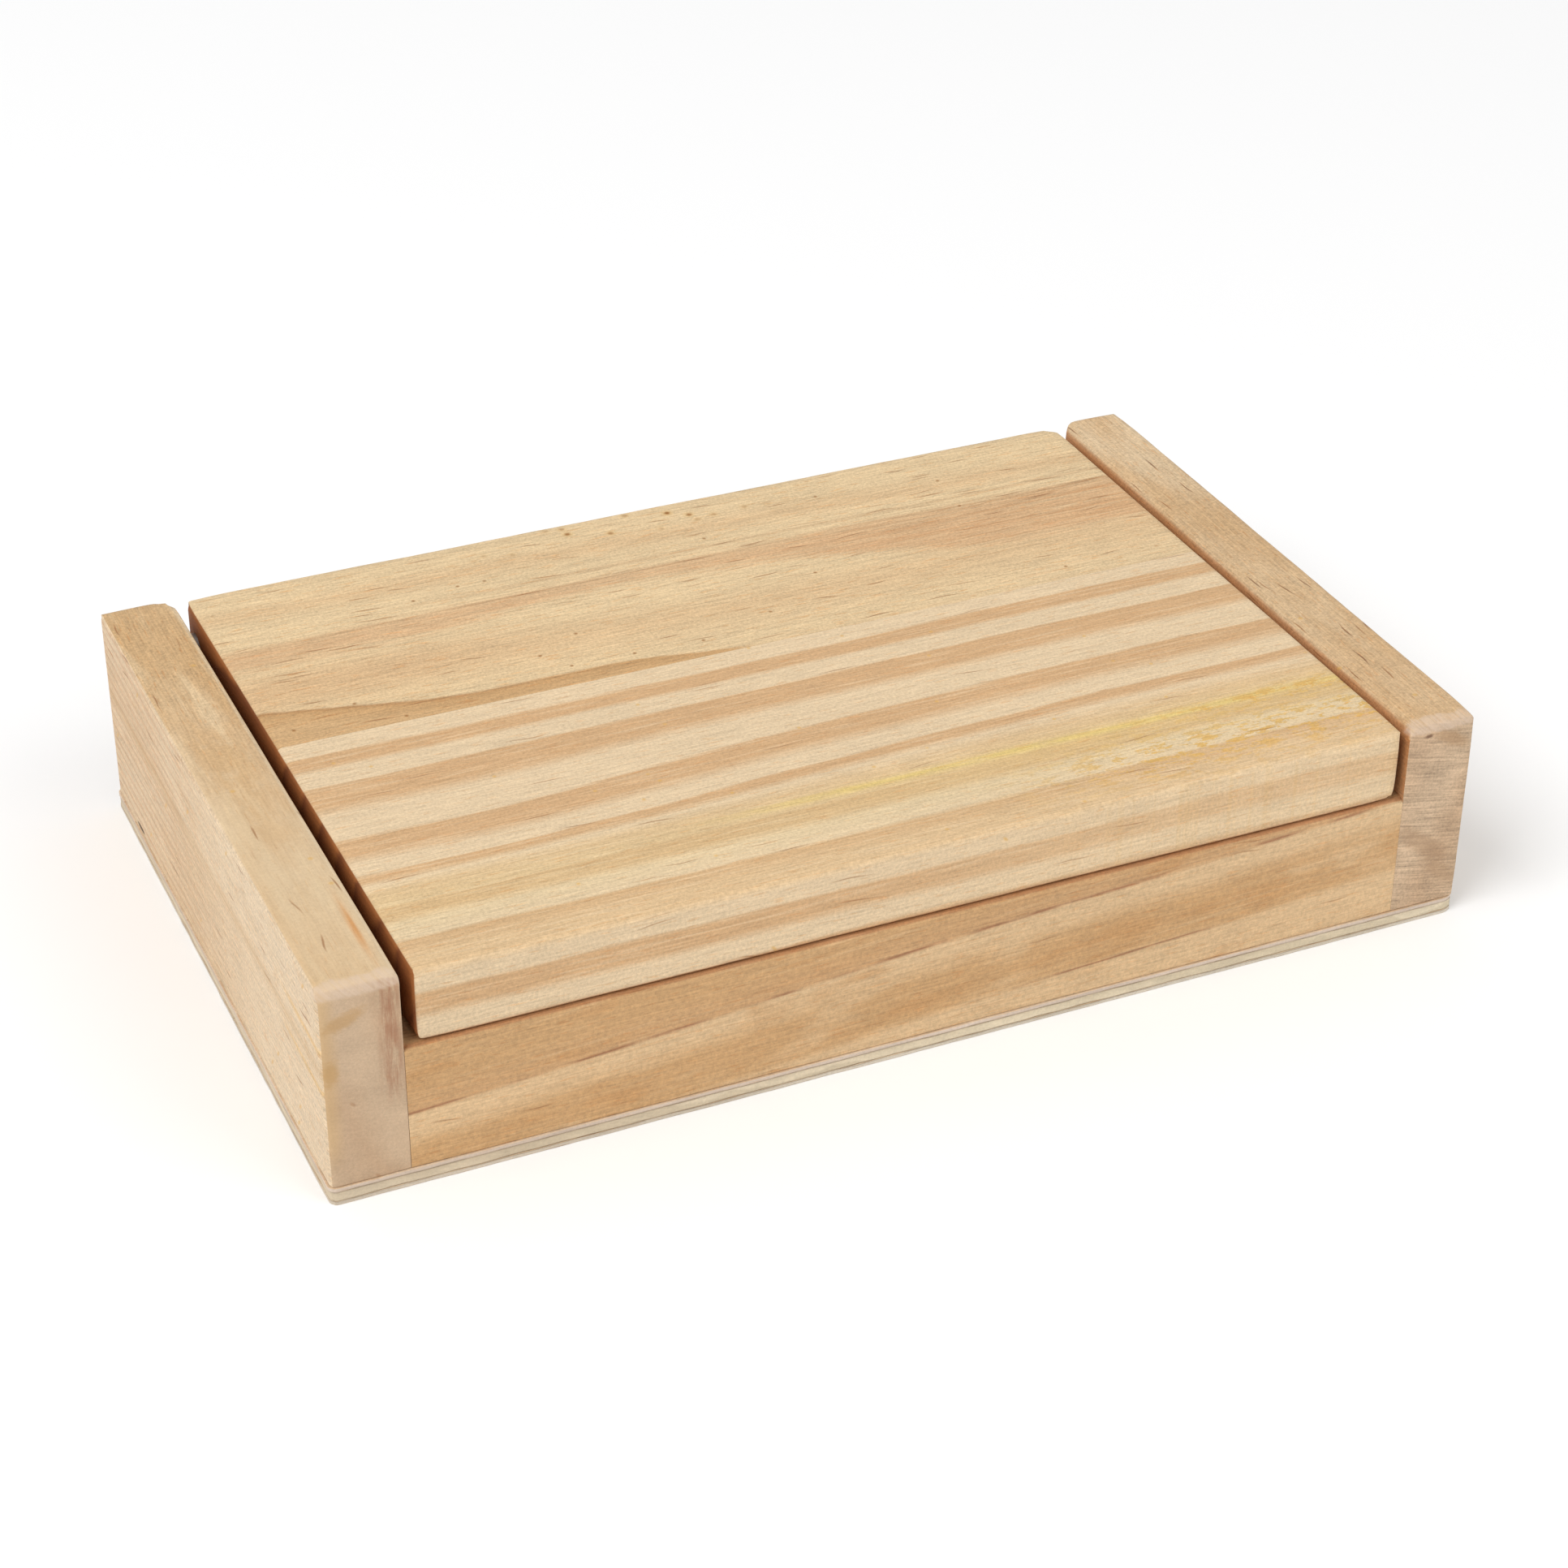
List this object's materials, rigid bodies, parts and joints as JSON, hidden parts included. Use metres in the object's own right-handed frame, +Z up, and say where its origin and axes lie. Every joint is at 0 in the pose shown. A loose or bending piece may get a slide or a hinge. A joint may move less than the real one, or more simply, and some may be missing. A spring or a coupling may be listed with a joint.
{
  "type": "butter mold",
  "caption": "Low rectangular wooden box mold with raised end walls, a plywood base and a thick flush lid that swings up on hidden pins near its rear edge.",
  "frame": {"origin": "under the middle of the base, on the surface that the box stands on", "axes": "+X along the box from the left end wall to the right one, +Y from front to back, +Z up"},
  "size_m": [0.19, 0.118, 0.0372],
  "materials": {
    "wall_pine": "sanded, unfinished pine",
    "rail_pine": "sanded, unfinished pine, warm tan",
    "base_veneer": "pale raw plywood face veneer",
    "base_core": "pale raw plywood core",
    "lid_plain_pine": "sanded, plain-sawn pine",
    "lid_striped_pine": "sanded, striped pine",
    "pin_steel": "drawn steel rod",
    "dowel_beech": "plain beech",
    "brad_steel": "bright wire brad"
  },
  "bodies": {
    "box": {"left_end_wall": "wall_pine", "right_end_wall": "wall_pine", "front_rail": "rail_pine", "back_rail": "rail_pine", "base_top_veneer": "base_veneer", "base_core_ply": "base_core", "base_bottom_veneer": "base_veneer", "left_hinge_pin": "pin_steel", "right_hinge_pin": "pin_steel", "front_rail_dowels": "dowel_beech", "back_rail_dowels": "dowel_beech", "base_brads": "brad_steel"},
    "lid": {"lid_back_stave": "lid_plain_pine", "lid_front_stave": "lid_striped_pine"}
  },
  "joints": [
    {"name": "lid_hinge", "type": "hinge", "parent": "box", "child": "lid", "pos_m": [0, 0.05245, 0.03055], "axis": [-1, 0, 0], "range_deg": [0, 97]}
  ]
}
